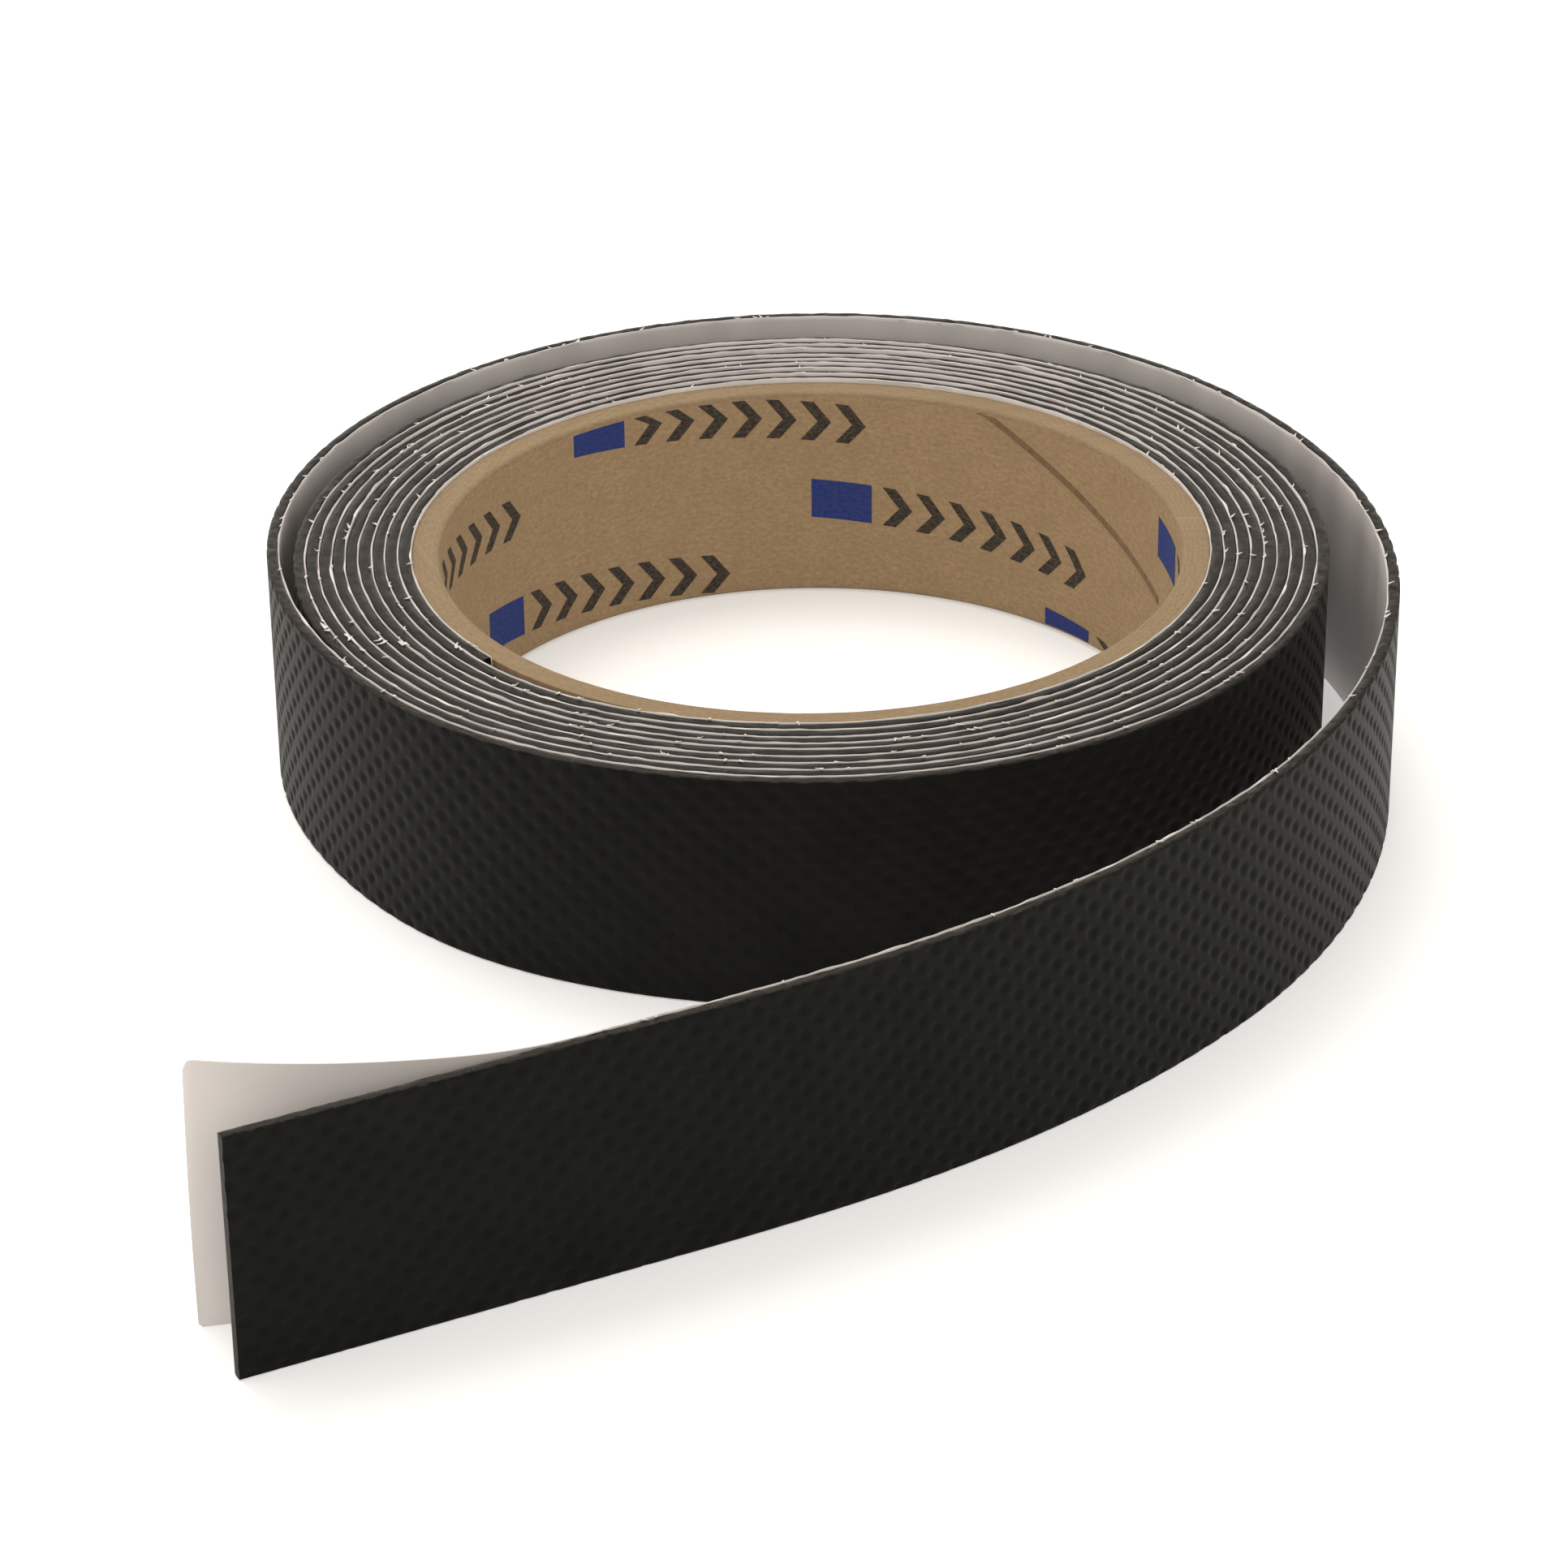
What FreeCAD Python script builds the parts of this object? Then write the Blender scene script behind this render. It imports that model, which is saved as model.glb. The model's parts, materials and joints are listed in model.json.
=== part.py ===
import FreeCAD, Part
import Sketcher
import math
import os

# Grip tape roll. The origin is on the core's axis at the height of the surface the roll lies on, +Z up.
# The strip runs clockwise, seen from above, from its inner end on the core to its free tip.
# Lengths are in millimetres and angles in degrees.

V = FreeCAD.Vector
AXIS = V(0, 0, 1)

SIZES = [
    ("core_bore_radius", 38.1),
    ("core_length", 24.1),
    ("core_lift", 0.1),
    ("core_plies", 5),
    ("ply_thickness", 0.56),
    ("core_edge_round", 0.4),
    ("tape_width", 24.5),
    ("liner_thickness", 0.15),
    ("adhesive_thickness", 0.1),
    ("rubber_thickness", 1.05),
    ("turn_clearance", 0.05),
    ("wound_turns", 9),
    ("inner_end_angle", -140),
    ("step_sweep", 50),
    ("flex_gap", 0.6),
    ("tab_bend_radius", 33.4),
    ("tab_root_length", 9),
    ("tab_tip_top_radius", 69),
    ("tab_tip_length", 25.2),
    ("peel_clearance", 0.05),
]

# the loose turn and the tail: radius of the outer face and the angle each bend turns through
BENDS = [(62.5, 23.4), (56.5, 161.2), (71.0, 41.2), (83.9, 33.9), (124.1, 11.1), (147.3, 9.7), (298.5, 2.9)]

# distance along the strip's inner face from the end of the wound turns to each flex line of the tail
FLEX_LINES = [("tail_root", 227.0), ("tail_second", 265.0), ("tail_third", 303.0), ("tail_tip", 339.0)]
PEEL_LINE = 353.0
STRAIGHT_END = 43.1


def make_sheet(doc):
    """Returns the spreadsheet of driving sizes, one aliased cell each."""
    sheet = doc.addObject("Spreadsheet::Sheet", "sizes")
    rows = list(SIZES)
    for number, (radius, sweep) in enumerate(BENDS, 1):
        rows.append((f"bend_radius_{number}", radius))
        rows.append((f"bend_sweep_{number}", sweep))
    rows += [(f"{name}_start", station) for name, station in FLEX_LINES]
    rows += [("peel_line", PEEL_LINE), ("straight_end", STRAIGHT_END)]
    for row, (alias, value) in enumerate(rows, 1):
        sheet.set(f"A{row}", alias)
        sheet.set(f"B{row}", str(value))
        sheet.setAlias(f"B{row}", alias)
    doc.recompute()
    return sheet


def direction(angle):
    """Unit vector in the ground plane at an angle from +X."""
    return V(math.cos(math.radians(angle)), math.sin(math.radians(angle)), 0)


class Run:
    """A clockwise arc, or a straight line where radius is None, of the strip's inner face."""

    def __init__(self, start, heading, radius, length):
        self.start = start
        self.heading = heading
        self.radius = radius
        self.length = length
        self.turn = math.degrees(length / radius) if radius else 0.0
        self.end = self.point(length, 0.0)

    def point(self, along, outward):
        """The point at a distance along the run, moved outward from the inner face."""
        if self.radius is None:
            return self.start + direction(self.heading) * along + direction(self.heading + 90) * outward
        normal = self.heading + 90 - math.degrees(along / self.radius)
        centre = self.start - direction(self.heading + 90) * self.radius
        return centre + direction(normal) * (self.radius + outward)

    def edge(self, low, high, outward):
        """The run's edge between two distances along it, offset outward."""
        first, last = self.point(low, outward), self.point(high, outward)
        if self.radius is None:
            return Part.makeLine(first, last)
        return Part.Arc(first, self.point((low + high) / 2, outward), last).toShape()


def follow(start, heading, steps):
    """Tangent runs, one after another, from (radius, length) steps."""
    runs = []
    for radius, length in steps:
        run = Run(start, heading, radius, length)
        runs.append(run)
        start, heading = run.end, heading - run.turn
    return runs


def step_radius_change(sweep, rise):
    """How much larger, then smaller, than the turn the two equal-sweep arcs are that climb one layer."""
    spread = 2 * (1 - math.cos(math.radians(sweep)))
    return (4 * rise + math.sqrt(16 * rise**2 - 4 * spread * rise**2)) / (2 * spread)


def wound_steps(sheet):
    """The wound turns: most of each is round the core's axis, and two arcs climb over the inner end."""
    pitch = strip_thickness(sheet) + sheet.turn_clearance
    change = step_radius_change(sheet.step_sweep, pitch)
    first = core_radius(sheet) + sheet.turn_clearance
    steps = []
    for turn in range(int(sheet.wound_turns)):
        radius = first + turn * pitch
        climb_out = radius + change
        climb_in = radius + pitch - change
        steps.append((radius, radius * math.radians(360 - sheet.step_sweep)))
        steps.append((climb_out, climb_out * math.radians(sheet.step_sweep / 2)))
        steps.append((climb_in, climb_in * math.radians(sheet.step_sweep / 2)))
    return steps


def loose_steps(sheet):
    """The loose turn and the tail, which ends straight."""
    steps = []
    for number in range(1, len(BENDS) + 1):
        radius = sheet.get(f"bend_radius_{number}") - strip_thickness(sheet)
        steps.append((radius, radius * math.radians(sheet.get(f"bend_sweep_{number}"))))
    return steps + [(None, sheet.straight_end)]


def strip_thickness(sheet):
    return sheet.liner_thickness + sheet.adhesive_thickness + sheet.rubber_thickness


def core_radius(sheet):
    return sheet.core_bore_radius + sheet.core_plies * sheet.ply_thickness


def outline(runs, low, high, inner, outer):
    """Closed face of one layer of the strip, between two distances along the runs."""
    near, far = [], []
    passed = 0.0
    for run in runs:
        start = max(low - passed, 0.0)
        stop = min(high - passed, run.length)
        if stop - start > 1e-6:
            near.append(run.edge(start, stop, inner))
            far.append(run.edge(start, stop, outer))
        passed += run.length
    near_wire, far_wire = Part.Wire(near), Part.Wire(far)
    first = Part.makeLine(near[0].Vertexes[0].Point, far[0].Vertexes[0].Point)
    last = Part.makeLine(near[-1].Vertexes[-1].Point, far[-1].Vertexes[-1].Point)
    edges = near_wire.Edges + [last] + list(reversed(far_wire.Edges)) + [first]
    return Part.Face(Part.Wire(Part.__sortEdges__(edges)))


def strip_piece(doc, label, face):
    """A stretch of one layer: its plan outline, extruded to the tape's width."""
    plan = doc.addObject("Part::Feature", label + "_plan")
    plan.Shape = face
    plan.Placement = FreeCAD.Placement()
    piece = doc.addObject("Part::Extrusion", label)
    piece.Label = label
    piece.Base = plan
    piece.DirMode = "Custom"
    piece.Dir = AXIS
    piece.Solid = True
    piece.setExpression("LengthFwd", "sizes.tape_width")
    return piece


def layer_depths(sheet):
    """Each layer's inner and outer distance from the strip's inner face."""
    liner = sheet.liner_thickness
    adhesive = liner + sheet.adhesive_thickness
    rubber = strip_thickness(sheet)
    return {"liner": (0.0, liner), "adhesive": (liner, adhesive), "rubber": (adhesive, rubber)}


def make_strip(doc, sheet):
    """The wound turns, the loose turn and the tail's links, each in three layers."""
    wound = follow(direction(sheet.inner_end_angle) * (core_radius(sheet) + sheet.turn_clearance),
                   sheet.inner_end_angle - 90, wound_steps(sheet))
    wound_length = sum(run.length for run in wound)
    heading = wound[-1].heading - wound[-1].turn
    loose = follow(wound[-1].end, heading, loose_steps(sheet))
    loose_length = sum(run.length for run in loose)
    half_gap = sheet.flex_gap / 2
    starts = [sheet.get(f"{name}_start") for name, _ in FLEX_LINES] + [loose_length + half_gap]
    made = []
    for layer, (inner, outer) in layer_depths(sheet).items():
        made.append(strip_piece(doc, "wound_" + layer, outline(wound, 0.0, wound_length, inner, outer)))
        made.append(strip_piece(doc, "loose_turn_" + layer,
                                outline(loose, 0.0, starts[0] - half_gap, inner, outer)))
        for (name, _), low, high in zip(FLEX_LINES, starts, starts[1:]):
            stop = sheet.peel_line if (name, layer) == ("tail_tip", "liner") else high - half_gap
            made.append(strip_piece(doc, name + "_" + layer,
                                    outline(loose, low + half_gap, stop, inner, outer)))
    report_lines(sheet, loose, wound_length, loose_length)
    return made, loose


def report_lines(sheet, loose, wound_length, loose_length):
    """Prints the strip's length and the places of the flex lines and the peel line."""
    print(f"strip length {wound_length + loose_length:.1f}")
    for name, station in FLEX_LINES:
        point = at_station(loose, station, strip_thickness(sheet) / 2)
        print(f"{name} line at {point.x:.2f}, {point.y:.2f}")
    peel = at_station(loose, PEEL_LINE, sheet.liner_thickness / 2)
    print(f"peel line at {peel.x:.2f}, {peel.y:.2f}")
    fold = tab_bend(loose, sheet).end
    print(f"fold line at {fold.x:.2f}, {fold.y:.2f}")


def at_station(runs, station, outward):
    """The point at a distance along the runs, offset outward."""
    passed = 0.0
    for run in runs:
        if station <= passed + run.length:
            return run.point(station - passed, outward)
        passed += run.length
    return runs[-1].point(runs[-1].length, outward)


def make_ply(doc, sheet, index, label):
    """One paper ply of the core: its section, turned about the core's axis."""
    body = doc.addObject("PartDesign::Body", label)
    body.Label = label
    sketch = body.newObject("Sketcher::SketchObject", label + "_section")
    planes = {feature.Role: feature for feature in body.Origin.OriginFeatures}
    sketch.AttachmentSupport = [(planes["XZ_Plane"], "")]
    sketch.MapMode = "FlatFace"
    inner = sheet.core_bore_radius + index * sheet.ply_thickness
    outer = inner + sheet.ply_thickness
    low, high = sheet.core_lift, sheet.core_lift + sheet.core_length
    corners = [V(inner, low, 0), V(outer, low, 0), V(outer, high, 0), V(inner, high, 0)]
    for first, second in zip(corners, corners[1:] + corners[:1]):
        sketch.addGeometry(Part.LineSegment(first, second), False)
    for side in range(4):
        sketch.addConstraint(Sketcher.Constraint("Coincident", side, 2, (side + 1) % 4, 1))
    for side, kind in enumerate(("Horizontal", "Vertical", "Horizontal", "Vertical")):
        sketch.addConstraint(Sketcher.Constraint(kind, side))
    sizes = [
        (("DistanceX", -1, 1, 0, 1), inner, f"sizes.core_bore_radius + {index} * sizes.ply_thickness"),
        (("DistanceX", 0, 1, 0, 2), outer - inner, "sizes.ply_thickness"),
        (("DistanceY", -1, 1, 0, 1), low, "sizes.core_lift"),
        (("DistanceY", 1, 1, 1, 2), high - low, "sizes.core_length"),
    ]
    for (kind, *where), value, expression in sizes:
        number = sketch.addConstraint(Sketcher.Constraint(kind, *where, value))
        sketch.setExpression(f"Constraints[{number}]", expression)
    turned = body.newObject("PartDesign::Revolution", label + "_turned")
    turned.Profile = sketch
    turned.ReferenceAxis = (sketch, ["V_Axis"])
    turned.Angle = 360
    doc.recompute()
    if index == 0:
        bore_edges = [f"Edge{number}" for number, edge in enumerate(turned.Shape.Edges, 1)
                      if edge.Curve.TypeId == "Part::GeomCircle" and edge.Curve.Radius < (inner + outer) / 2]
        rounded = body.newObject("PartDesign::Fillet", label + "_round")
        rounded.Base = (turned, bore_edges)
        rounded.setExpression("Radius", "sizes.core_edge_round")
    return body


def make_core(doc, sheet):
    """The core's paper plies, the printed one inside."""
    plies = int(sheet.core_plies)
    labels = ["core_printed_ply"] + [f"core_middle_ply_{number}" for number in range(1, plies - 1)]
    labels.append("core_outer_ply")
    return [make_ply(doc, sheet, index, label) for index, label in enumerate(labels)]


def tab_bend(loose, sheet):
    """The peeled liner's first stretch, which bends away from the tail."""
    peel = at_station(loose, sheet.peel_line, 0.0)
    return Run(peel, loose[-1].heading, sheet.tab_bend_radius, sheet.tab_root_length)


def tab_faces(sheet):
    """How far the peeled liner's two faces are moved outward from its path."""
    return -sheet.peel_clearance, sheet.liner_thickness - sheet.peel_clearance


def tip_outline(sheet, bend, radius, height):
    """Closed outline of the peeled liner's tip at a height, straight where radius is None."""
    curve = Run(bend.end + AXIS * height, bend.heading - bend.turn, radius, sheet.tab_tip_length)
    near, far = [curve.edge(sheet.flex_gap / 2, sheet.tab_tip_length, offset) for offset in tab_faces(sheet)]
    ends = [Part.makeLine(near.Vertexes[side].Point, far.Vertexes[side].Point) for side in (0, -1)]
    return Part.Wire(Part.__sortEdges__([near, far] + ends))


def make_tab(doc, sheet, loose):
    """The peeled liner: a bent root, and a tip that leans back because only its top edge goes on bending."""
    bend = tab_bend(loose, sheet)
    half_gap = sheet.flex_gap / 2
    root = strip_piece(doc, "liner_tab_root",
                       outline([bend], half_gap, sheet.tab_root_length - half_gap, *tab_faces(sheet)))
    foot = tip_outline(sheet, bend, None, 0.0)
    top = tip_outline(sheet, bend, sheet.tab_tip_top_radius, sheet.tape_width)
    tip = doc.addObject("Part::Feature", "liner_tab_tip")
    tip.Label = "liner_tab_tip"
    tip.Shape = Part.makeLoft([foot, top], True, True)
    tip.Placement = FreeCAD.Placement()
    return [root, tip]


def check(doc, pieces):
    """Stops if any object failed, or a piece is empty or not a valid closed solid."""
    doc.recompute()
    for item in doc.Objects:
        if "Invalid" in item.State or "Error" in item.State:
            raise RuntimeError(f"{item.Name} failed: {item.State}")
    for piece in pieces:
        shape = piece.Shape
        if shape.isNull() or not shape.isValid() or len(shape.Solids) != 1 or shape.Volume <= 0:
            raise RuntimeError(f"{piece.Label} isn't one valid solid")


def main():
    os.makedirs("parts", exist_ok=True)
    doc = FreeCAD.newDocument("grip_tape_roll")
    sheet = make_sheet(doc)
    strip, loose = make_strip(doc, sheet)
    pieces = make_core(doc, sheet) + strip + make_tab(doc, sheet, loose)
    check(doc, pieces)
    for piece in pieces:
        piece.Shape.exportStep(f"parts/{piece.Label}.step")
        print(f"{piece.Label}: {piece.Shape.Volume:.1f} mm3")


main()
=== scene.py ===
import json
import math

import bpy
import numpy as np
from mathutils import Matrix, Vector


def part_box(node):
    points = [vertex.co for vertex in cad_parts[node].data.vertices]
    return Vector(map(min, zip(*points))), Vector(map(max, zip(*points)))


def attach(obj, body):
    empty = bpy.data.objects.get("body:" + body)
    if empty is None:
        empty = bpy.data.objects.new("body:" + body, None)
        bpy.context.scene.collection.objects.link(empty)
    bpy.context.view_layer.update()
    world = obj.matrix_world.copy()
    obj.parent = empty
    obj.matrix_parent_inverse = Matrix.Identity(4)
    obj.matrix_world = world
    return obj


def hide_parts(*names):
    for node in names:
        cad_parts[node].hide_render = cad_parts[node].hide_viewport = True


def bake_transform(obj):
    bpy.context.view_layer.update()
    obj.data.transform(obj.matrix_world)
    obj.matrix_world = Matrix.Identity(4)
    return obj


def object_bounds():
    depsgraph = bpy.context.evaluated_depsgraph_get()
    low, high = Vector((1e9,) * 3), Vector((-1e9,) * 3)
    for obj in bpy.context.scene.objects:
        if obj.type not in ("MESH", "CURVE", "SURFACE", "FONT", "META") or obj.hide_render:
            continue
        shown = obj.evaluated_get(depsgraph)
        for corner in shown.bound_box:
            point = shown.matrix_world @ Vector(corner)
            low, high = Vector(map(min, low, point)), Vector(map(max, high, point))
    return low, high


# A roll of grip tape: a printed paper core, nine tight turns, one loose turn and a free tail whose liner is
# peeling. Shapes are worked out in millimetres and turned into metres when a mesh is made.

MM = 0.001
UV_PER_METRE = 10
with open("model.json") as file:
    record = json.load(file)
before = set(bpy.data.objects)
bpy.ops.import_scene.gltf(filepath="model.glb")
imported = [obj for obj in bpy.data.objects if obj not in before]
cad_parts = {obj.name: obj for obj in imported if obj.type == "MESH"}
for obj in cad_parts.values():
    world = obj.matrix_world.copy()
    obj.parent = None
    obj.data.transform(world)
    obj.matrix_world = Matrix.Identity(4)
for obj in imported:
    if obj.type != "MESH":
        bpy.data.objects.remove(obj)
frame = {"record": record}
cad_low, cad_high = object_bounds()

# ---------------------------------------------------------------- sizes, in millimetres
BORE = next(m for m in frame["record"]["mounts"] if m["name"] == "core_bore")["dims"]["r_mm"]
CORE_LOW, CORE_HIGH = (corner.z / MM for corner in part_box("core_outer_ply"))
CORE_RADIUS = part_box("core_outer_ply")[1].x / MM
PLIES = ["core_printed_ply", "core_middle_ply_1", "core_middle_ply_2", "core_middle_ply_3", "core_outer_ply"]
WIDTH = cad_high.z / MM
LINER, ADHESIVE, RUBBER, CLEARANCE = 0.15, 0.1, 1.05, 0.05
THICKNESS = LINER + ADHESIVE + RUBBER
PITCH = THICKNESS + CLEARANCE
TURNS = 9
INNER_END = -140.0
STEP_SWEEP = 50.0
BENDS = [(62.5, 23.4), (56.5, 161.2), (71.0, 41.2), (83.9, 33.9), (124.1, 11.1), (147.3, 9.7), (298.5, 2.9)]
STRAIGHT_END = 43.1
PEEL_LINE = 353.0
TAB_BEND_RADIUS, TAB_ROOT_LENGTH, TAB_TIP_TOP_RADIUS, TAB_TIP_LENGTH = 33.4, 9.0, 69.0, 25.2
TAB_LENGTH = TAB_ROOT_LENGTH + TAB_TIP_LENGTH
STRIP_WIDTH = WIDTH - 0.15


# ---------------------------------------------------------------- the strip's path in plan
class Path:
    """Tangent clockwise arcs and straight lines, read at any distance along them."""

    def __init__(self, start, heading, steps):
        self.first = [0.0]
        self.starts = [np.array(start, float)]
        self.headings = [heading]
        self.curves = []
        for radius, length in steps:
            point, angle = self._along(self.starts[-1], self.headings[-1], radius, length)
            self.curves.append(1.0 / radius if radius else 0.0)
            self.first.append(self.first[-1] + length)
            self.starts.append(point)
            self.headings.append(angle)
        self.length = self.first[-1]

    @staticmethod
    def _along(start, heading, radius, length):
        turn = length / radius if radius else 0.0
        chord = 2 * radius * math.sin(turn / 2) if radius else length
        middle = heading - turn / 2
        return start + chord * np.array([math.cos(middle), math.sin(middle)]), heading - turn

    def heading(self, along):
        """The direction of travel at distances along the path."""
        index = self._index(along)
        into = along - np.take(self.first, index)
        return np.take(self.headings, index) - into * np.take(self.curves, index)

    def _index(self, along):
        return np.clip(np.searchsorted(self.first, along, side="right") - 1, 0, len(self.curves) - 1)

    def at(self, along, outward):
        """Plan points at distances along the path, moved outward from it."""
        index = self._index(along)
        into = along - np.take(self.first, index)
        curve = np.take(self.curves, index)
        middle = np.take(self.headings, index) - into * curve / 2
        chord = into * np.sinc(into * curve / 2 / np.pi)
        direction = np.stack([np.cos(middle), np.sin(middle)], -1)
        base = np.array(self.starts)[index] + chord[..., None] * direction
        heading = self.heading(along)
        normal = np.stack([-np.sin(heading), np.cos(heading)], -1)
        return base + np.asarray(outward)[..., None] * normal


def wound_steps():
    """Each turn runs round the core's axis, then two arcs climb over the strip's inner end."""
    spread = 2 * (1 - math.cos(math.radians(STEP_SWEEP)))
    change = (4 * PITCH + math.sqrt(16 * PITCH**2 - 4 * spread * PITCH**2)) / (2 * spread)
    half = math.radians(STEP_SWEEP / 2)
    steps = []
    for turn in range(TURNS):
        radius = CORE_RADIUS + CLEARANCE + turn * PITCH
        steps.append((radius, radius * math.radians(360 - STEP_SWEEP)))
        steps.append((radius + change, (radius + change) * half))
        steps.append((radius + PITCH - change, (radius + PITCH - change) * half))
    return steps


def loose_steps():
    """The loose turn and the tail, which ends straight."""
    arcs = [(radius - THICKNESS, (radius - THICKNESS) * math.radians(sweep)) for radius, sweep in BENDS]
    return arcs + [(None, STRAIGHT_END)]


START_ANGLE = math.radians(INNER_END)
WOUND = sum(length for _, length in wound_steps())
STRIP = Path((CORE_RADIUS + CLEARANCE) * np.array([math.cos(START_ANGLE), math.sin(START_ANGLE)]),
             START_ANGLE - math.pi / 2, wound_steps() + loose_steps())
OUTER_TURN = sum(length for _, length in wound_steps()[:-3])


def station(along):
    """Distance along the whole strip of a distance past the end of the wound turns."""
    return WOUND + along


# ---------------------------------------------------------------- meshes
SHARP_ANGLE = math.radians(55)
# the sine waves of each span: how many, the least and most of the span they take, and what tames their sum
WAVES_EACH, WAVE_LEAST, WAVE_MOST, WAVE_DIVISOR = 3, 0.7, 1.4, 1.7


def waves(values, seed, spans, heights):
    """Smooth one-dimensional noise: for each span, sine waves of about that length and height."""
    local = np.random.default_rng(seed)
    total = np.zeros_like(values, dtype=float)
    for span, height in zip(spans, heights):
        for _ in range(WAVES_EACH):
            length = span * local.uniform(WAVE_LEAST, WAVE_MOST)
            total += height / WAVE_DIVISOR * np.sin(2 * np.pi * values / length + local.uniform(0, 2 * np.pi))
    return total


def jitter(count, seed, height, blur=0):
    """Rough noise, one value for each step, softened over blur neighbours."""
    values = np.random.default_rng(seed).normal(0, 1, count + 2 * blur)
    if blur:
        kernel = np.hanning(2 * blur + 3)[1:-1]
        values = np.convolve(values, kernel / np.sqrt((kernel**2).sum()), mode="valid")
    return height * values[:count]


def make_piece(name, points, faces, places, materials):
    """An object from points in millimetres. places says where each lies along and across its sheet."""
    mesh = bpy.data.meshes.new(name)
    mesh.from_pydata((points * MM).tolist(), [], faces)
    layer = mesh.uv_layers.new(name="strip")
    corners = np.zeros(len(mesh.loops), dtype=np.int32)
    mesh.loops.foreach_get("vertex_index", corners)
    layer.data.foreach_set("uv", (places[corners] * MM * UV_PER_METRE).astype(np.float32).ravel())
    for item in materials:
        mesh.materials.append(item)
    piece = bpy.data.objects.new(name, mesh)
    bpy.context.scene.collection.objects.link(piece)
    return piece


def loft(name, rings, places, slots, materials, closed=False):
    """A surface through rings of points (steps, around, 3), capped at its ends or closed into a hoop.

    slots names the material of each side strip; the caps have the first material.
    """
    steps, around = rings.shape[:2]
    index = np.arange(steps * around).reshape(steps, around)
    following = np.roll(index, -1, axis=1)
    quads = np.stack([index[:-1], following[:-1], following[1:], index[1:]], -1)
    if closed:
        last = np.stack([index[-1:], following[-1:], following[:1], index[:1]], -1)
        quads = np.concatenate([quads, last])
    face_slots = np.tile(np.asarray(slots), quads.shape[0])
    faces = quads.reshape(-1, 4).tolist()
    if not closed:
        faces += [index[0, ::-1].tolist(), index[-1].tolist()]
        face_slots = np.append(face_slots, [0, 0])
    piece = make_piece(name, rings.reshape(-1, 3), faces, places.reshape(-1, 2), materials)
    piece.data.polygons.foreach_set("material_index", face_slots.astype(np.int32))
    piece.data.shade_smooth()
    piece.data.set_sharp_from_angle(angle=SHARP_ANGLE)
    return piece


# how far the strip stands above the lowest it can, and the waves in it
LIFT, LIFT_MOST = 0.08, 0.15
LIFT_SPANS, LIFT_HEIGHTS = (310, 120, 47), (0.05, 0.04, 0.03)
# the tail stands lower: where it starts to, over what length, and how much of the lift it loses
SETTLE_START, SETTLE_LENGTH, SETTLE_SHARE = 150, 60, 0.8


def lift(along):
    """How far the strip sits above the lowest it can, which makes neighbouring turns uneven."""
    height = LIFT + waves(along, 5, LIFT_SPANS, LIFT_HEIGHTS)
    settled = np.clip((along - station(SETTLE_START)) / SETTLE_LENGTH, 0, 1)
    return np.clip(height, 0.0, LIFT_MOST) * (1 - SETTLE_SHARE * settled)


# ---------------------------------------------------------------- embossing
DIMPLE_PITCH_ALONG, DIMPLE_PITCH_UP, DIMPLE_RADIUS, DIMPLE_DEPTH = 2.98, 2.77, 0.69, 0.19
DIMPLE_SKEW = math.radians(2.5)
DIMPLE_FLATNESS = 1.15


def embossing(along, height):
    """Depth of the staggered round dimples at points of the rubber's face, in millimetres."""
    u = along * math.cos(DIMPLE_SKEW) - height * math.sin(DIMPLE_SKEW)
    v = along * math.sin(DIMPLE_SKEW) + height * math.cos(DIMPLE_SKEW)
    depth = np.zeros_like(u)
    for shift in (0.0, 0.5):
        du = (u / DIMPLE_PITCH_ALONG + shift + 0.5) % 1 - 0.5
        dv = (v / DIMPLE_PITCH_UP + shift + 0.5) % 1 - 0.5
        reach = np.hypot(du * DIMPLE_PITCH_ALONG, dv * DIMPLE_PITCH_UP) / DIMPLE_RADIUS
        depth += np.clip(DIMPLE_FLATNESS * (1 - reach**2), 0, 1)
    return DIMPLE_DEPTH * depth


# ---------------------------------------------------------------- the strip's layers
# rubber drawn with this many rows of height has a plain face
PLAIN_ROWS = 3
# how far the face and the back stop short of the cut edges
EDGE_MARGIN, BACK_MARGIN = 0.1, 0.06
# the cut edge: where it starts from each side, how far it drops there, how it swells between, its roughness
CUT_CORNER_OUT, CUT_CORNER_IN, CUT_DROP = 0.12, 0.04, 0.02
CUT_SWELL = (0.0, 0.035, 0.045, 0.03, 0.0)
CUT_ROUGHNESS = 0.02


def steps_along(start, stop, step):
    """Evenly spaced distances along the strip."""
    return np.linspace(start, stop, max(3, int(round((stop - start) / step)) + 1))


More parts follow.
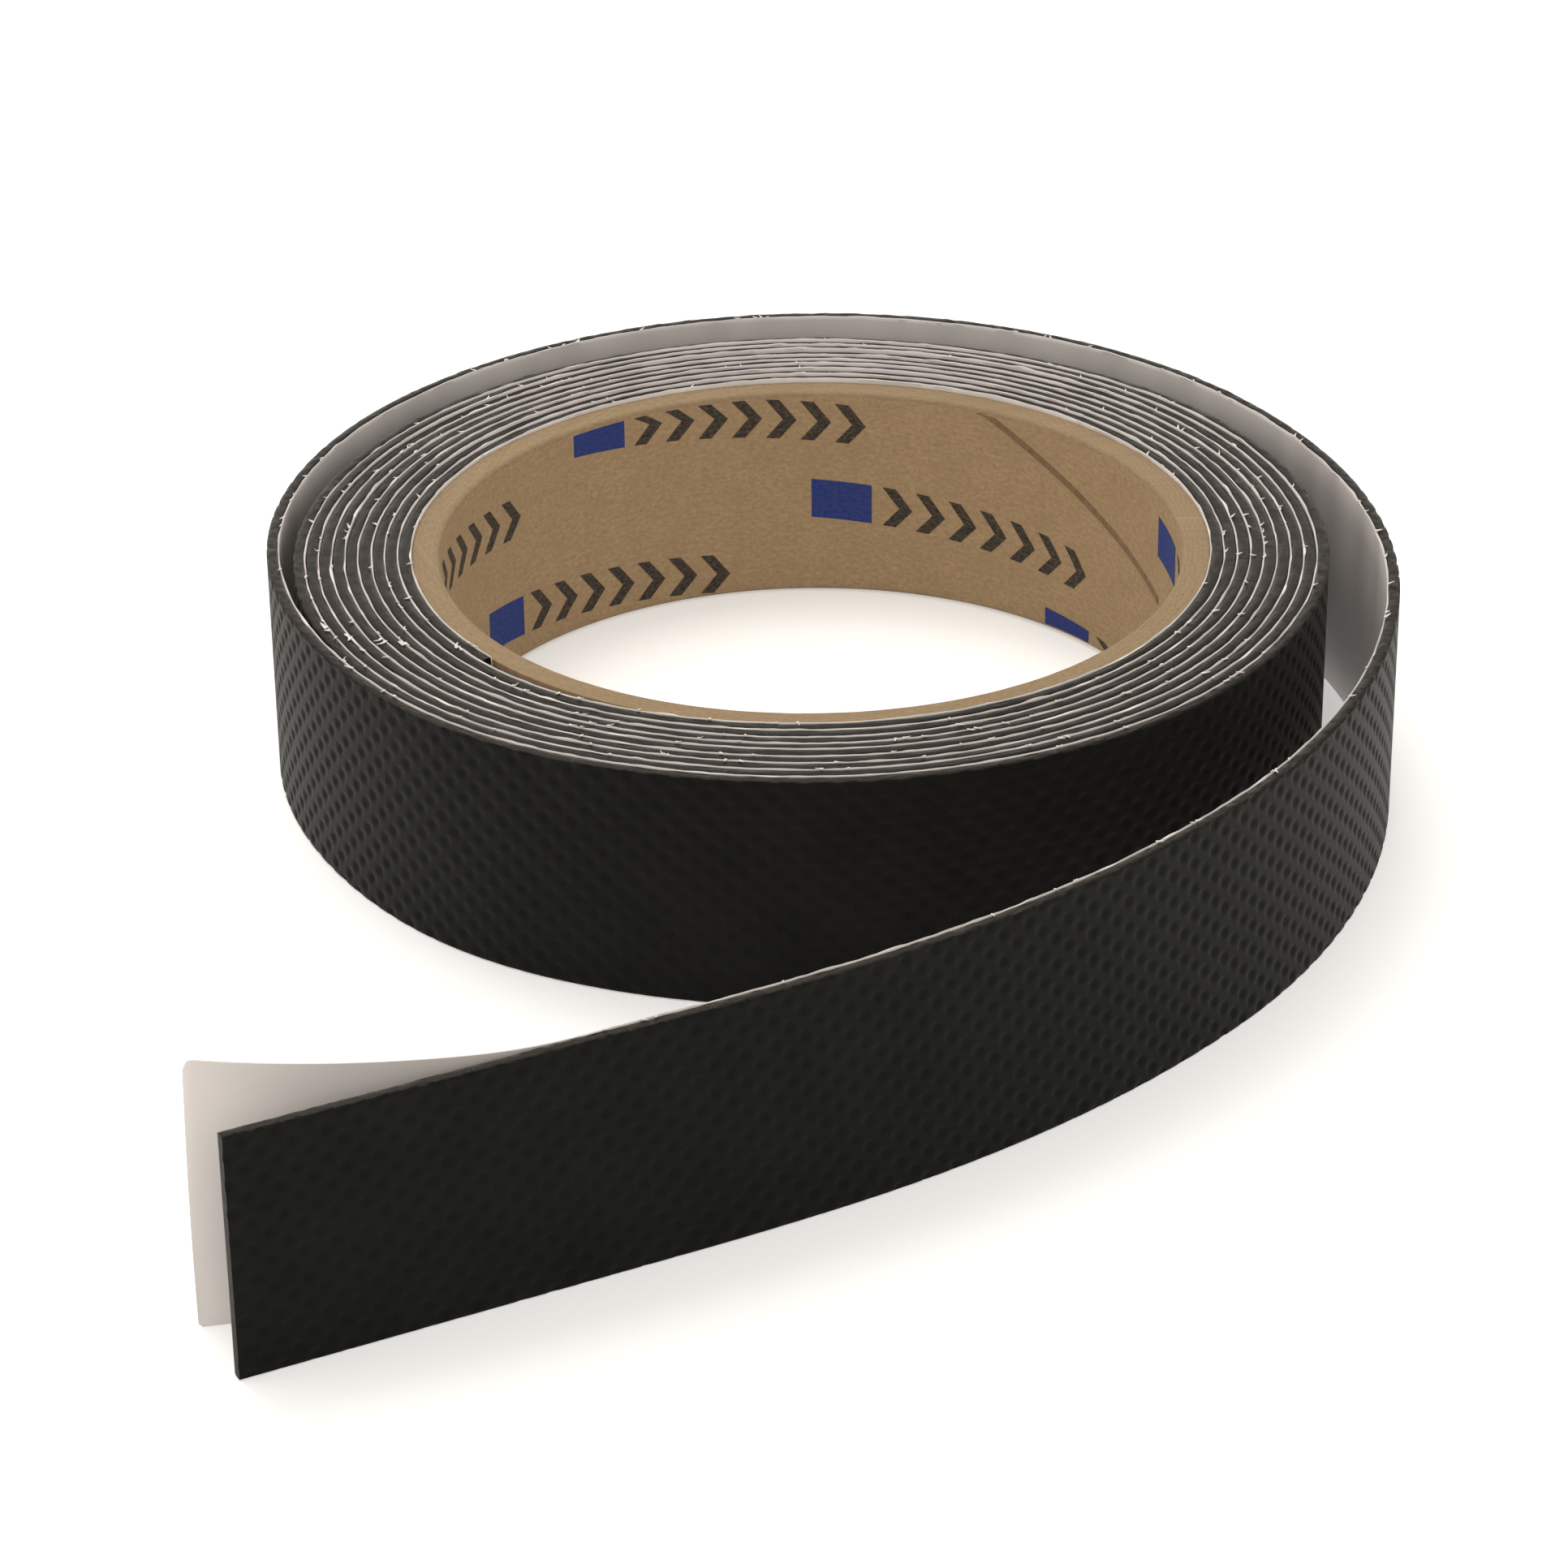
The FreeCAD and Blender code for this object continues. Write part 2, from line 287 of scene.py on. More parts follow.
def rubber_piece(name, start, stop, rows, step, materials):
    """A stretch of the rubber: its outer face in rows of height, its two cut edges and its back."""
    along = steps_along(start, stop, step)
    count = len(along)
    back, face = LINER + ADHESIVE, THICKNESS
    low, high = lift(along), lift(along) + STRIP_WIDTH
    share = np.linspace(0, 1, rows)
    up = (low + EDGE_MARGIN)[:, None] + (high - low - 2 * EDGE_MARGIN)[:, None] * share
    embossed = rows > PLAIN_ROWS
    depth = embossing(along[:, None] + 0 * up, up - low[:, None]) if embossed else 0 * up
    outer = face - depth
    columns = [(outer[:, row], up[:, row]) for row in range(rows)]
    cut = np.linspace(face - CUT_CORNER_OUT, back + CUT_CORNER_IN, len(CUT_SWELL))
    rough = [jitter(count, 40 + number, CUT_ROUGHNESS, 2) for number in range(len(cut))]
    for offset, swell, marks in zip(cut, CUT_SWELL, rough):
        columns.append((np.full(count, offset), high - CUT_DROP + swell + marks))
    columns.append((np.full(count, back), high - BACK_MARGIN))
    columns.append((np.full(count, back), low + BACK_MARGIN))
    for offset, marks in zip(cut[::-1], rough):
        columns.append((np.full(count, offset), low + np.abs(marks)))
    edge = [1] * (len(cut) + 1)
    return profile_piece(name, along, columns, materials, [0] * (rows - 1) + edge + [0] + edge)


def profile_piece(name, along, columns, materials, slots):
    """A loft along the strip from columns of (outward offset, height)."""
    outward = np.stack([column[0] for column in columns], 1)
    up = np.stack([column[1] for column in columns], 1)
    stations = np.repeat(along[:, None], outward.shape[1], 1)
    rings = np.concatenate([STRIP.at(stations, outward), up[..., None]], -1)
    return loft(name, rings, np.stack([stations, up], -1), slots, materials)


# how far the film stops short of the strip's edges, of the liner and of the rubber
FILM_MARGIN, FILM_INNER_GAP, FILM_OUTER_GAP = 0.12, 0.01, 0.004


def adhesive_piece(name, start, stop, step, materials):
    """The adhesive film on the rubber's back."""
    along = steps_along(start, stop, step)
    low, high = lift(along) + FILM_MARGIN, lift(along) + STRIP_WIDTH - FILM_MARGIN
    inner = np.full(len(along), LINER + FILM_INNER_GAP)
    outer = np.full(len(along), LINER + ADHESIVE - FILM_OUTER_GAP)
    columns = [(outer, low), (outer, high), (inner, high), (inner, low)]
    return profile_piece(name, along, columns, materials, [0] * len(columns))


# the liner's top edge: how far it rises past the rubber, its fur and tufts, and its painted highlight: a
# further rise towards the back of the roll, so more white paper shows there in place of the grey reflection
# off the roll's top
LINER_RISE, LINER_FUZZ, LINER_TUFT, LINER_PAINTED_HIGHLIGHT = 0.05, 0.03, 0.07, 0.22
# how far it hangs below the rubber, and its gap to the film
LINER_DROP, LINER_GAP = 0.02, 0.005
# how its thickness varies, how far torn places curl out, and how far its top leans either way
LINER_UNEVEN, LINER_CURL, LINER_LEAN = 0.018, 0.08, 0.03
# how far below its top it is rounded, and how far below its top it starts to lean
LINER_ROUNDING, LINER_BENT = 0.06, 0.5


def painted_highlight_rise(along):
    """How much further the wound liner stands out towards the back of the roll: a painted highlight, more
    white paper standing in for the grey reflection there.
    """
    x, y = np.moveaxis(STRIP.at(along, np.zeros(len(along))), -1, 0)
    side = np.clip(y / np.hypot(x, y), 0, 1)
    return LINER_PAINTED_HIGHLIGHT * side**2 * (along < WOUND)


def liner_piece(name, start, stop, step, materials):
    """The release liner, with its torn and slightly furry cut edge."""
    along = steps_along(start, stop, step)
    count = len(along)
    seed = int(start)
    fuzz_and_painted_highlight = LINER_RISE + np.abs(jitter(count, seed + 71, LINER_FUZZ, 2))
    fuzz_and_painted_highlight = fuzz_and_painted_highlight + LINER_TUFT * np.clip(jitter(count, seed + 72, 1.0, 3) - 1, 0, 2)
    # painted highlight: the wound liner rises further towards the back of the roll
    fuzz_and_painted_highlight += painted_highlight_rise(along)
    low, high = np.maximum(lift(along) - LINER_DROP, 0.0), lift(along) + STRIP_WIDTH + fuzz_and_painted_highlight
    thick = LINER - LINER_GAP + jitter(count, seed + 73, LINER_UNEVEN, 3)
    thick += LINER_CURL * np.clip(jitter(count, seed + 74, 1.0, 4) - 1.1, 0, 2)
    lean = jitter(count, seed + 75, LINER_LEAN, 5)
    inner = np.zeros(count)
    bent, shoulder = high - LINER_BENT, high - LINER_ROUNDING
    columns = [(thick, low), (thick, bent), (thick + lean, shoulder), ((inner + thick) / 2 + lean, high),
               (inner + lean, shoulder), (inner, bent), (inner, low)]
    return profile_piece(name, along, columns, materials, [0] * len(columns))


# each torn fibre's sections: how far along it, and its width there
FIBRE_SECTIONS = ((0.0, 1.1), (0.35, 0.85), (0.7, 0.5), (1.0, 0.15))
FIBRE_THICKNESS = 0.07
# the share of a fibre's length that lies before its place, and the share of fibres that point backward
FIBRE_ROOT, FIBRES_BACKWARD = 0.1, 0.75
# the least and most each fibre leans from the liner's line (radians), its length, width and rise at its tip
FIBRE_LEAN, FIBRE_LENGTH, FIBRE_WIDTH, FIBRE_TIP = (0.15, 1.0), (0.35, 0.9), (0.15, 0.28), (0.0, 0.2)
FIBRE_CURL = 0.5


def slivers(name, places, seed, materials):
    """Torn fibres at the liner's cut top: small tapered blades. places are (station, outward, size)."""
    chance = np.random.default_rng(seed)
    points, faces, texture = [], [], []
    for along, outward, size in places:
        here = STRIP.at(np.array(float(along)), outward)
        heading = float(STRIP.heading(np.array(float(along))))
        backward, lean = chance.random() < FIBRES_BACKWARD, chance.uniform(*FIBRE_LEAN)
        turned = heading + (math.pi - lean if backward else lean)
        length, width = chance.uniform(*FIBRE_LENGTH) * size, chance.uniform(*FIBRE_WIDTH) * size
        rise, curl = chance.uniform(*FIBRE_TIP), chance.normal(0, FIBRE_CURL)
        base = float(lift(np.array(float(along)))) + STRIP_WIDTH + LINER_RISE
        first = len(points)
        for part, slim in FIBRE_SECTIONS:
            angle = turned + curl * part
            ahead = np.array([math.cos(angle), math.sin(angle)])
            side = np.array([-ahead[1], ahead[0]]) * width * slim / 2
            middle = here + ahead * length * (part - FIBRE_ROOT)
            height = base + rise * part**2
            for sign, up in ((-1, 0.0), (1, 0.0), (1, FIBRE_THICKNESS), (-1, FIBRE_THICKNESS)):
                points.append([*(middle + sign * side), height + up])
                texture.append((along, height + up))
        for section in range(len(FIBRE_SECTIONS) - 1):
            corner = first + 4 * section
            for edge in range(4):
                following = (edge + 1) % 4
                faces.append((corner + edge, corner + following, corner + 4 + following, corner + 4 + edge))
        faces.append((first + 3, first + 2, first + 1, first))
        faces.append((first + 12, first + 13, first + 14, first + 15))
    return make_piece(name, np.array(points), faces, np.array(texture), materials)


# ---------------------------------------------------------------- materials
def material(name):
    """A node material, returned with its node tree and its main shader."""
    made = bpy.data.materials.new(name)
    made.use_nodes = True
    tree = made.node_tree
    return made, tree, tree.nodes["Principled BSDF"]


def node(tree, kind, inputs=None, **settings):
    """A node with its settings and its inputs' values or links."""
    made = tree.nodes.new(kind)
    for key, value in settings.items():
        setattr(made, key, value)
    for key, value in (inputs or {}).items():
        socket = made.inputs[key]
        if isinstance(value, bpy.types.NodeSocket):
            tree.links.new(value, socket)
        else:
            socket.default_value = value
    return made


def ramp(tree, factor, stops):
    """A colour ramp of (position, grey or colour) stops."""
    made = node(tree, "ShaderNodeValToRGB", {"Fac": factor})
    elements = made.color_ramp.elements
    while len(elements) < len(stops):
        elements.new(0.5)
    for element, (position, colour) in zip(elements, stops):
        element.position = position
        element.color = (colour, colour, colour, 1) if isinstance(colour, float) else (*colour, 1)
    return made.outputs["Color"]


def blend_colours(tree, factor, first, second, mode="MIX"):
    """A mix of two colours or links."""
    made = node(tree, "ShaderNodeMix", data_type="RGBA", blend_type=mode)
    for index, value in ((0, factor), (6, first), (7, second)):
        if isinstance(value, bpy.types.NodeSocket):
            tree.links.new(value, made.inputs[index])
        else:
            made.inputs[index].default_value = value if isinstance(value, float) else (*value, 1)
    return made.outputs[2]


def noise(tree, vector, scale, detail=3.0, roughness=0.55, distortion=0.0):
    """Cloudy noise from 0 to 1."""
    made = node(tree, "ShaderNodeTexNoise", {"Vector": vector, "Scale": scale, "Detail": detail,
                                            "Roughness": roughness, "Distortion": distortion})
    return made.outputs["Fac"]


def stretched(tree, vector, scale):
    """The coordinates scaled differently along each axis."""
    return node(tree, "ShaderNodeMapping", {"Vector": vector, "Scale": scale}).outputs["Vector"]


def bump(tree, shader, height, distance, strength=1.0):
    """Tilts the shader's normal as a height of 0 to 1 over this distance, in metres, would."""
    made = node(tree, "ShaderNodeBump", {"Height": height, "Distance": distance, "Strength": strength})
    tree.links.new(made.outputs["Normal"], shader.inputs["Normal"])


def strip_coordinates(tree):
    """Along and across the strip, in units of 100 mm, whatever the strip's bends."""
    return node(tree, "ShaderNodeUVMap", uv_map="strip").outputs["UV"]


def rubber_material():
    """The tape's face: nearly black, dusty in places, with a grey sheen where it is seen edge on."""
    made, tree, shader = material("rubber_face")
    where = strip_coordinates(tree)
    patches = noise(tree, where, 14.0, 4.0)
    grain = noise(tree, where, 420.0, 2.0, 0.7)
    colour = ramp(tree, patches, [(0.3, (0.0024, 0.0025, 0.0018)), (0.7, (0.0044, 0.0045, 0.0033))])
    dust = ramp(tree, noise(tree, where, 95.0, 1.0), [(0.80, 0.0), (0.84, 1.0)])
    colour = blend_colours(tree, dust, colour, (0.03, 0.028, 0.025))
    tree.links.new(colour, shader.inputs["Base Color"])
    tree.links.new(ramp(tree, grain, [(0.3, 0.46), (0.7, 0.6)]), shader.inputs["Roughness"])
    shader.inputs["Specular IOR Level"].default_value = 0.09
    shader.inputs["Sheen Weight"].default_value = 0.06
    shader.inputs["Sheen Roughness"].default_value = 0.35
    shader.inputs["Sheen Tint"].default_value = (1.0, 0.93, 0.82, 1)
    bump(tree, shader, grain, 0.00005, 0.6)
    return made


def cut_rubber_material():
    """The slit edge of the rubber: dull, brownish, with fine marks of the blade along it."""
    made, tree, shader = material("rubber_cut")
    where = strip_coordinates(tree)
    streaks = noise(tree, stretched(tree, where, (60, 420, 1)), 1.0, 4.0, 0.65)
    speckle = noise(tree, where, 260.0, 2.0, 0.6)
    colour = ramp(tree, streaks, [(0.25, (0.0055, 0.004, 0.003)), (0.6, (0.013, 0.0098, 0.0068)),
                                  (0.85, (0.028, 0.0225, 0.0175))])
    flecks = ramp(tree, speckle, [(0.66, 0.0), (0.74, 0.7)])
    colour = blend_colours(tree, flecks, colour, (0.05, 0.044, 0.038))
    tree.links.new(colour, shader.inputs["Base Color"])
    shader.inputs["Roughness"].default_value = 0.34
    shader.inputs["Specular IOR Level"].default_value = 0.08
    bump(tree, shader, streaks, 0.0001, 0.7)
    return made


def adhesive_material():
    """The sticky film: dark, glossy in patches."""
    made, tree, shader = material("adhesive_film")
    where = strip_coordinates(tree)
    mottle = noise(tree, where, 60.0, 5.0, 0.6)
    colour = ramp(tree, mottle, [(0.3, (0.018, 0.016, 0.013)), (0.7, (0.04, 0.036, 0.03))])
    tree.links.new(colour, shader.inputs["Base Color"])
    tree.links.new(ramp(tree, mottle, [(0.35, 0.22), (0.7, 0.42)]), shader.inputs["Roughness"])
    bump(tree, shader, mottle, 0.0001, 0.5)
    return made


def liner_material(name, pale, deep):
    """Silicone-coated paper: faintly pink grey, cloudy, with a fine fibre grain."""
    made, tree, shader = material(name)
    where = strip_coordinates(tree)
    fibres = noise(tree, stretched(tree, where, (120, 380, 1)), 1.0, 5.0, 0.6)
    clouds = noise(tree, where, 9.0, 3.0)
    colour = ramp(tree, clouds, [(0.3, deep), (0.7, pale)])
    tree.links.new(colour, shader.inputs["Base Color"])
    tree.links.new(ramp(tree, fibres, [(0.3, 0.42), (0.7, 0.6)]), shader.inputs["Roughness"])
    shader.inputs["Specular IOR Level"].default_value = 0.35
    bump(tree, shader, fibres, 0.00004, 0.5)
    return made


def kraft_material(name, dark, light):
    """Unbleached paper: a mottle of short fibres, darker clouds and fine specks."""
    made, tree, shader = material(name)
    where = strip_coordinates(tree)
    fibres = noise(tree, stretched(tree, where, (150, 230, 150)), 1.0, 5.0, 0.6, 0.4)
    grain = noise(tree, where, 520.0, 2.0, 0.6)
    clouds = noise(tree, where, 26.0, 4.0, 0.6)
    colour = ramp(tree, fibres, [(0.25, dark), (0.75, light)])
    colour = blend_colours(tree, ramp(tree, clouds, [(0.3, 0.0), (0.8, 0.45)]), colour, dark)
    colour = blend_colours(tree, ramp(tree, grain, [(0.3, 0.3), (0.6, 0.0)]), colour, dark)
    speck_places = stretched(tree, where, (90, 130, 90))
    specks = node(tree, "ShaderNodeTexVoronoi", {"Vector": speck_places, "Scale": 1.0})
    chosen = ramp(tree, specks.outputs["Distance"], [(0.06, 0.5), (0.13, 0.0)])
    thinned = ramp(tree, noise(tree, where, 60.0, 2.0), [(0.5, 0.0), (0.6, 1.0)])
    chosen = blend_colours(tree, 1.0, chosen, thinned, "MULTIPLY")
    colour = blend_colours(tree, chosen, colour, tuple(0.45 * value for value in dark))
    tree.links.new(colour, shader.inputs["Base Color"])
    tree.links.new(ramp(tree, fibres, [(0.3, 0.78), (0.7, 0.92)]), shader.inputs["Roughness"])
    shader.inputs["Specular IOR Level"].default_value = 0.2
    bump(tree, shader, fibres, 0.00007, 0.6)
    return made


def ink_material(name, colour, faded):
    """Printing ink that has not quite filled the paper's fibres."""
    made, tree, shader = material(name)
    where = strip_coordinates(tree)
    fibres = noise(tree, stretched(tree, where, (190, 300, 60)), 1.0, 5.0, 0.7)
    tree.links.new(ramp(tree, fibres, [(0.4, colour), (0.72, faded)]), shader.inputs["Base Color"])
    shader.inputs["Roughness"].default_value = 0.75
    shader.inputs["Specular IOR Level"].default_value = 0.2
    bump(tree, shader, fibres, 0.00005, 0.5)
    return made


FACE = rubber_material()
CUT = cut_rubber_material()
GLUE = adhesive_material()
PAPER = liner_material("release_liner", (0.69, 0.643, 0.622), (0.645, 0.6, 0.58))
KRAFT = kraft_material("kraft_core", (0.245, 0.165, 0.087), (0.42, 0.298, 0.176))
# a darker copy of the core's kraft for the plies' ends and outer faces, which are the same paper: painted
# shade
KRAFT_PAINTED_SHADE = kraft_material("kraft_painted_shade", (0.215, 0.151, 0.084), (0.36, 0.261, 0.159))
KRAFT_SEAM = kraft_material("kraft_seam", (0.13, 0.08, 0.042), (0.26, 0.175, 0.1))
BLUE = ink_material("blue_ink", (0.012, 0.028, 0.155), (0.04, 0.055, 0.16))
BLACK = ink_material("black_ink", (0.02, 0.018, 0.016), (0.10, 0.075, 0.05))


# ---------------------------------------------------------------- the wound strip
# how finely each layer is drawn: rows up its face, and steps along it in millimetres
PLAIN_STEP, WOUND_ROWS, WOUND_STEP, LOOSE_ROWS, LOOSE_STEP = 0.6, 76, 0.36, 92, 0.26
FILM_STEP, LINER_STEP = 2.0, 0.5
# how many torn fibres the wound turns have, the loose strip's spacing of them, and the least they lie outward
WOUND_FIBRES, LOOSE_FIBRE_SPACING, FIBRE_NEAREST = 240, 6, 0.02


def dress(piece, nodes):
    """Hides the CAD nodes that a piece stands for, and returns the piece."""
    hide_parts(*nodes)
    return piece


def scattered(low, high, count, seed):
    """Places for torn fibres between two stations, within the liner's thickness."""
    chance = np.random.default_rng(seed)
    along = chance.uniform(low, high, count)
    outward = chance.uniform(FIBRE_NEAREST, LINER, count)
    return [(station_at, reach, 1.0) for station_at, reach in zip(along, outward)]


# the turns that a knock has scuffed, counted from the core, and the angle of each scuff
NICKED_TURNS = [(8, -157.0), (7, -154.5), (5, -151.5), (4, -149.5), (1, -144.0)]
NICK_SIZE = 1.7
# the fibres of each scuff: how far along the strip, and how far outward
NICK_FIBRES = ((0.0, 0.2), (0.7, 0.34))


def nick():
    """Places of a short row of larger torn fibres across a few neighbouring turns."""
    places = []
    for turn, angle in NICKED_TURNS:
        radius = CORE_RADIUS + CLEARANCE + turn * PITCH
        begin = sum(length for _, length in wound_steps()[:3 * turn])
        swept = (INNER_END - angle) % 360
        for shift, outward in NICK_FIBRES:
            places.append((begin + radius * math.radians(swept) + shift, outward, NICK_SIZE))
    return places


def wound_pieces():
    """The tight turns: plain rubber inside, and the outermost turn embossed."""
    inner = rubber_piece("wound_rubber_inner", 0.0, OUTER_TURN, PLAIN_ROWS, PLAIN_STEP, [FACE, CUT])
    outer = rubber_piece("wound_rubber_outer", OUTER_TURN, WOUND, WOUND_ROWS, WOUND_STEP, [FACE, CUT])
    glue = adhesive_piece("wound_adhesive_film", 0.0, WOUND, FILM_STEP, [GLUE])
    liner = liner_piece("wound_liner_paper", 0.0, WOUND, LINER_STEP, [PAPER])
    for piece in (inner, outer):
        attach(dress(piece, ["wound_rubber"]), "roll")
    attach(dress(glue, ["wound_adhesive"]), "roll")
    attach(dress(liner, ["wound_liner"]), "roll")
    torn = slivers("wound_liner_fibres", scattered(0.0, WOUND, WOUND_FIBRES, 3) + nick(), 4, [PAPER])
    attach(torn, "roll")


# each stretch of the loose turn and tail: name, where it starts and stops, and the two bodies given for it
STRETCHES = [
    ("loose_turn", 0.0, 195.0, "roll", None),
    ("tail_root", 195.0, 246.0, "roll", "tail_root"),
    ("tail_second", 246.0, 284.0, "tail_root", "tail_second"),
    ("tail_third", 284.0, 321.0, "tail_second", "tail_third"),
    ("tail_tip", 321.0, None, "tail_third", "tail_tip"),
]


def join(piece, first, second):
    """Rides a piece on one body; a piece given two bodies keeps its place, baked into its mesh."""
    if second is None:
        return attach(piece, first)
    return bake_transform(piece)


def loose_pieces():
    """The loose turn and the tail, each layer in stretches that meet where nothing bends."""
    for name, start, stop, first, second in STRETCHES:
        end = STRIP.length if stop is None else station(stop)
        liner_end = station(PEEL_LINE) if stop is None else end
        begin = station(start)
        rubber = rubber_piece(name + "_rubber_face", begin, end, LOOSE_ROWS, LOOSE_STEP, [FACE, CUT])
        glue = adhesive_piece(name + "_adhesive_film", begin, end, FILM_STEP, [GLUE])
        liner = liner_piece(name + "_liner_paper", begin, liner_end, LINER_STEP, [PAPER])
        count = int((liner_end - begin) / LOOSE_FIBRE_SPACING)
        torn = slivers(name + "_liner_fibres", scattered(begin, liner_end, count, int(start) + 7),
                       int(start) + 8, [PAPER])
        join(dress(rubber, [name + "_rubber"]), first, second)
        join(dress(glue, [name + "_adhesive"]), first, second)
        join(dress(liner, [name + "_liner"]), first, second)
        join(torn, first, second)


# ---------------------------------------------------------------- the peeled liner
def tab_path(share):
    """The peeled liner's path at a share of its height: straight at the foot, still bending at the top."""
    peel = STRIP.at(np.array(station(PEEL_LINE)), 0.0)
    heading = float(STRIP.heading(np.array(station(PEEL_LINE))))
    tip_radius = TAB_TIP_TOP_RADIUS / max(share, 1e-3)
    return Path(peel, heading, [(TAB_BEND_RADIUS, TAB_ROOT_LENGTH), (tip_radius, TAB_TIP_LENGTH)])


def corner_nip(to_end, radius):
    """How much a corner of this radius takes off an edge at a distance from the end."""
    reach = np.clip(radius - to_end, 0, radius)
    return radius - np.sqrt(radius**2 - reach**2)


TAB_ROWS = 26
TAB_STEP = 0.35
# the paper's two faces, outward from the path, and the radii of its end's corners
TAB_OUTER, TAB_INNER = 0.11, -0.04
TAB_FOOT_CORNER, TAB_TOP_CORNER = 0.3, 1.0
# the paper's faint ripple: its height, its length per radian, its slant up the paper, and where it is full
TAB_RIPPLE, TAB_RIPPLE_LENGTH, TAB_RIPPLE_SLANT, TAB_RIPPLE_START = 0.08, 7.0, 2.2, 15
# where the root starts to bend, and half the unbent gap between its bend and the tip's
TAB_BEND_START, TAB_BEND_GAP = 0.1, 0.3


def tab_piece(name, start, stop):
    """A stretch of the peeled liner, with its top corner cut round."""
    along = np.linspace(start, stop, int((stop - start) / TAB_STEP) + 1)
    stations = station(PEEL_LINE) + along
    foot = lift(stations) + corner_nip(TAB_LENGTH - along, TAB_FOOT_CORNER)
    top = lift(stations) + STRIP_WIDTH - corner_nip(TAB_LENGTH - along, TAB_TOP_CORNER)
    faces = []
    for offset in (TAB_OUTER, TAB_INNER):
        sheet = np.zeros((len(along), TAB_ROWS, 3))
        for row, part in enumerate(np.linspace(0, 1, TAB_ROWS)):
            ripple = TAB_RIPPLE * np.sin(along / TAB_RIPPLE_LENGTH + TAB_RIPPLE_SLANT * part)
            ripple *= np.clip(along / TAB_RIPPLE_START, 0, 1)
            sheet[:, row, :2] = tab_path(part).at(along, offset + ripple)
            sheet[:, row, 2] = foot + (top - foot) * part
        faces.append(sheet)
    rings = np.concatenate([faces[0], faces[1][:, ::-1]], axis=1)
    places = np.stack([np.repeat(stations[:, None], rings.shape[1], 1), rings[..., 2]], -1)
    return loft(name, rings, places, [0] * rings.shape[1], [PAPER])


def tab_point(along):
    """A point on the peeled liner's middle line, in metres."""
    x, y = tab_path(0.5).at(np.array(along), 0.0)
    return (x * MM, y * MM, WIDTH / 2 * MM)


def tab_pieces():
    """The peeled liner in two pieces, which meet half way along its root."""
    half = TAB_ROOT_LENGTH / 2
    root_bend = [tab_point(TAB_BEND_START), tab_point(half - TAB_BEND_GAP)]
    tip_bend = [tab_point(half + TAB_BEND_GAP), tab_point(TAB_ROOT_LENGTH + half)]
    root = dress(tab_piece("peeled_liner_root", 0.0, half), ["liner_tab_root"])
    join(root, "tail_tip", "liner_tab_root")
    tip = dress(tab_piece("peeled_liner_tip", half, TAB_LENGTH), ["liner_tab_tip"])
    join(tip, "liner_tab_root", "liner_tab_tip")


# ---------------------------------------------------------------- the core
AROUND = 720
# the plies' cut ends: how far inside the core's two ends, and how uneven
PLY_FOOT, PLY_DROP, PLY_WAVE, PLY_ROUGHNESS = 0.05, 0.03, 0.02, 0.004
# the gap between plies, and how their edges are eased
PLY_GAP, PLY_CHAMFER, PLY_SHOULDER, PLY_RIM = 0.002, 0.01, 0.06, 0.02
BORE_ROUNDING, BORE_ROWS = 0.5, 24


def ring_piece(name, inner, outer, seed, materials, rounding=0.0, rows=1):
    """One paper ply as a ring. rounding softens the top edge of its inner face."""
    turn = np.linspace(0, 2 * np.pi, AROUND, endpoint=False)
    full = np.ones(AROUND)
    low = CORE_LOW + PLY_FOOT
    high = CORE_HIGH - PLY_DROP + PLY_WAVE * np.sin(turn * 3) + jitter(AROUND, seed, PLY_ROUGHNESS, 3)
    wall_low, wall_height = low + rounding, high - low - 2 * rounding
    columns = [(inner * full, wall_low + wall_height * part) for part in np.linspace(0, 1, rows + 1)]
    if rounding:
        for angle in np.linspace(0, np.pi / 2, 5)[1:]:
            radius = inner + rounding * (1 - math.cos(angle))
            columns.append((full * radius, high - rounding * (1 - math.sin(angle))))
    shoulder, rim = inner + PLY_SHOULDER + rounding, outer - PLY_RIM
    columns += [(shoulder * full, high), (rim * full, high), (outer * full, high - PLY_CHAMFER)]
    columns += [(outer * full, (low + PLY_CHAMFER) * full), (rim * full, low * full)]
    columns.append((shoulder * full, low * full))
    radius = np.stack([column[0] for column in columns], 1)
    up = np.stack([column[1] for column in columns], 1)
    rings = np.stack([radius * np.cos(turn)[:, None], radius * np.sin(turn)[:, None], up], -1)
    places = np.stack([np.repeat((turn * inner)[:, None], radius.shape[1], 1), up + (radius - inner)], -1)
    slots = [0] * rows + [1] * (len(columns) - rows)
    return loft(name, rings, places, slots, materials, closed=True)


def core_pieces():
    """The core's paper plies, each a ring with its own slightly uneven cut ends."""
    thickness = (CORE_RADIUS - BORE) / len(PLIES)
    for index, node_name in enumerate(PLIES):
        inner = BORE + index * thickness
        outer = inner + thickness - PLY_GAP
        slot, rounding, rows = "core_kraft", 0.0, 1
        if index == 0:
            slot, rounding, rows = "printed_kraft", BORE_ROUNDING, BORE_ROWS
        # the plies' ends and outer faces take the darker copy of the kraft: painted shade
        ring = ring_piece(node_name + "_ring", inner, outer, index, [KRAFT, KRAFT_PAINTED_SHADE], rounding, rows)
        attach(dress(ring, [node_name]), "roll")


# ---------------------------------------------------------------- the core's print and seam
# the heights between which the wall is printed, the print's fall per millimetre, and the ink's height on it
PRINT_LOW, PRINT_HIGH = CORE_LOW + 0.6, CORE_HIGH - 0.65
PRINT_SLOPE = -0.09
INK_DEPTH = 0.025


def on_wall(start, across, up, inward):
    """The point of the bore's wall at a distance clockwise from an angle, raised inward from the wall."""
    angle = math.radians(start) - across / BORE
    radius = BORE - inward
    height = min(max(up, PRINT_LOW), PRINT_HIGH)
    return [radius * math.cos(angle), radius * math.sin(angle), height]


